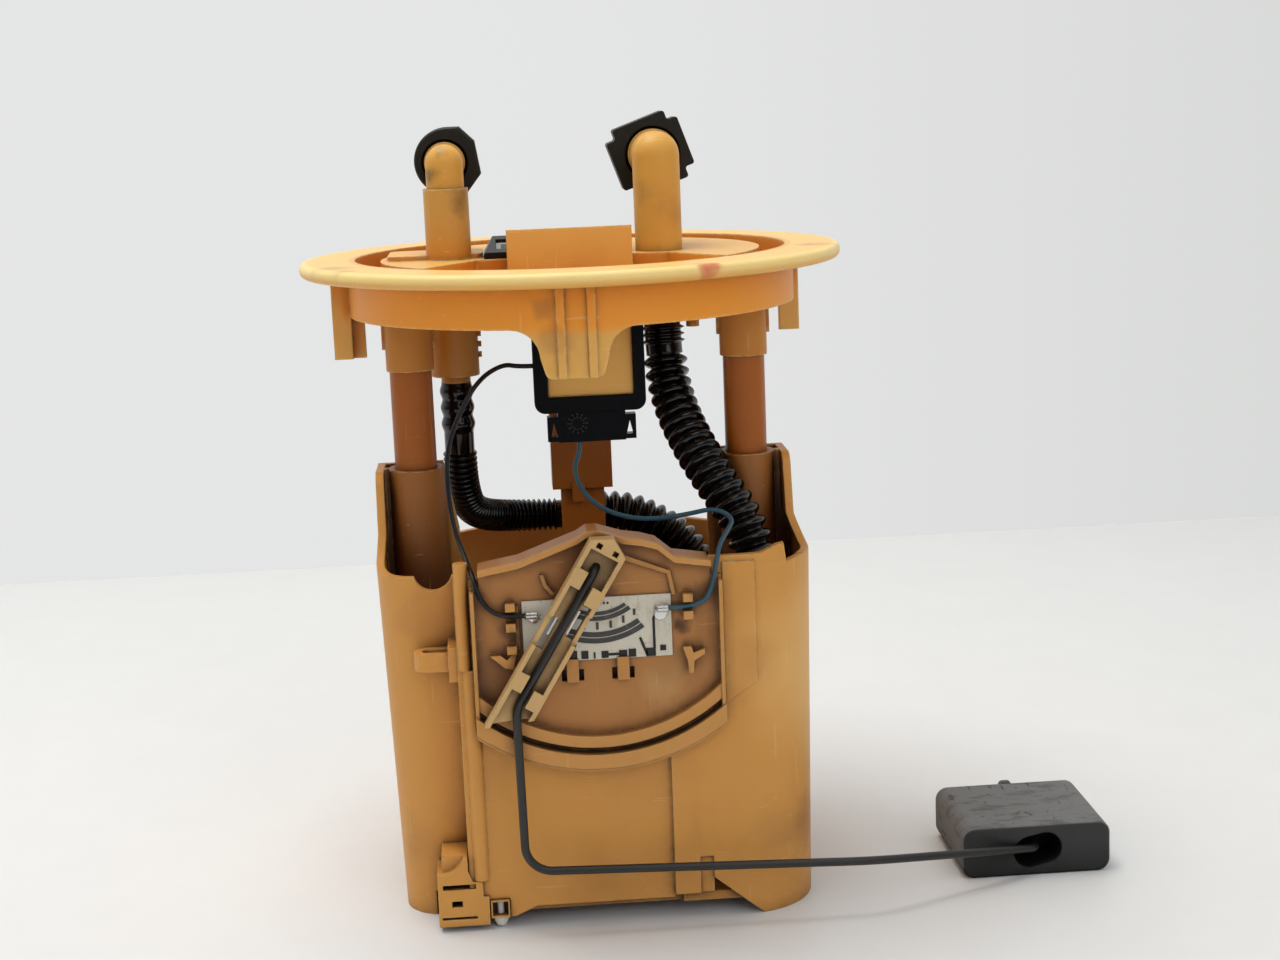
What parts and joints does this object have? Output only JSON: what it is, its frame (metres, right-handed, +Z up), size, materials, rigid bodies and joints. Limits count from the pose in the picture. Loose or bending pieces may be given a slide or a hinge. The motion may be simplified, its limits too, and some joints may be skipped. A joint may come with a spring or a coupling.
{
  "type": "fuel pump module",
  "caption": "In-tank fuel pump module: round cover on sprung guide rods over a reservoir pot, with ribbed hoses and a level sender arm carrying a block float.",
  "frame": {"origin": "centre of the foot boss under the pot, on the cover's axis, at the level it stands on", "axes": "+X to the right towards the float, +Y to the rear, the way the spigots point, +Z up"},
  "size_m": [0.2227, 0.155, 0.2191],
  "materials": {
    "amber_plastic": "satin moulded acetal, stained brown",
    "arm_plastic": "satin moulded acetal, pale tan",
    "black_plastic": "satin",
    "grey_seal": "matt",
    "tinned_metal": "bright tin",
    "spring_steel": "plain",
    "hose_black": "gloss, wet with fuel",
    "wire_black": "satin",
    "wire_blue": "satin",
    "white_plastic": "satin",
    "filter_mesh": "woven nylon",
    "pump_metal": "brushed",
    "pump_plastic": "satin",
    "isolator_rubber": "matt",
    "card_ceramic": "matt fired ceramic",
    "track_ink": "satin printed ink",
    "dark_wire": "dark phosphated steel",
    "cap_plastic": "satin",
    "float_rubber": "matt cellular rubber"
  },
  "bodies": {
    "reservoir": {"reservoir_pot": "amber_plastic", "bottom_cover": "amber_plastic", "inlet_valve": "white_plastic", "strainer_frame": "white_plastic", "strainer_mesh": "filter_mesh", "guide_rail": "amber_plastic", "hose_coupling": "black_plastic", "pump_hose": "hose_black", "pump_can": "pump_metal", "pump_cap": "pump_plastic", "pump_inlet": "pump_plastic", "pump_holder": "black_plastic", "isolator_upper": "isolator_rubber", "isolator_lower": "isolator_rubber", "jet_pump_body": "black_plastic", "jet_nozzle": "white_plastic", "sender_bracket": "amber_plastic", "sender_card": "card_ceramic", "card_tracks": "track_ink", "solder_joint_left": "tinned_metal", "solder_joint_right": "tinned_metal"},
    "cover": {"flange_cover": "amber_plastic", "feed_elbow": "amber_plastic", "return_elbow": "amber_plastic", "feed_collar": "black_plastic", "return_collar": "black_plastic", "connector_socket": "black_plastic", "connector_seal": "grey_seal", "connector_pins": "tinned_metal", "connector_holder": "black_plastic", "guide_rod_left": "amber_plastic", "guide_rod_right": "amber_plastic", "guide_channel": "amber_plastic", "feed_hose": "hose_black", "return_hose": "hose_black", "signal_wire": "wire_black", "ground_wire": "wire_blue", "guide_spring_left": "spring_steel", "guide_spring_right": "spring_steel"},
    "sender_arm": {"wiper_arm": "arm_plastic", "wiper_contacts": "tinned_metal", "float_wire": "dark_wire", "wire_cap": "cap_plastic"},
    "float": {"float_block": "float_rubber"}
  },
  "joints": [
    {"name": "cover_slide", "type": "slide", "parent": "reservoir", "child": "cover", "axis": [0, 0, 1], "range_m": [-0.022, 0], "stiffness_N_per_m": 400, "springref_m": 0.025, "deforming": ["guide_spring_left", "guide_spring_right", "feed_hose", "return_hose", "signal_wire", "ground_wire"]},
    {"name": "arm_hinge", "type": "hinge", "parent": "reservoir", "child": "sender_arm", "pos_m": [0.0005, -0.065, 0.1025], "axis": [0, -1, 0], "range_deg": [0, 62]},
    {"name": "float_hinge", "type": "hinge", "parent": "sender_arm", "child": "float", "pos_m": [0.1242, -0.029, 0.0075], "axis": [0, 1, 0], "range_deg": [-12, 12]}
  ]
}
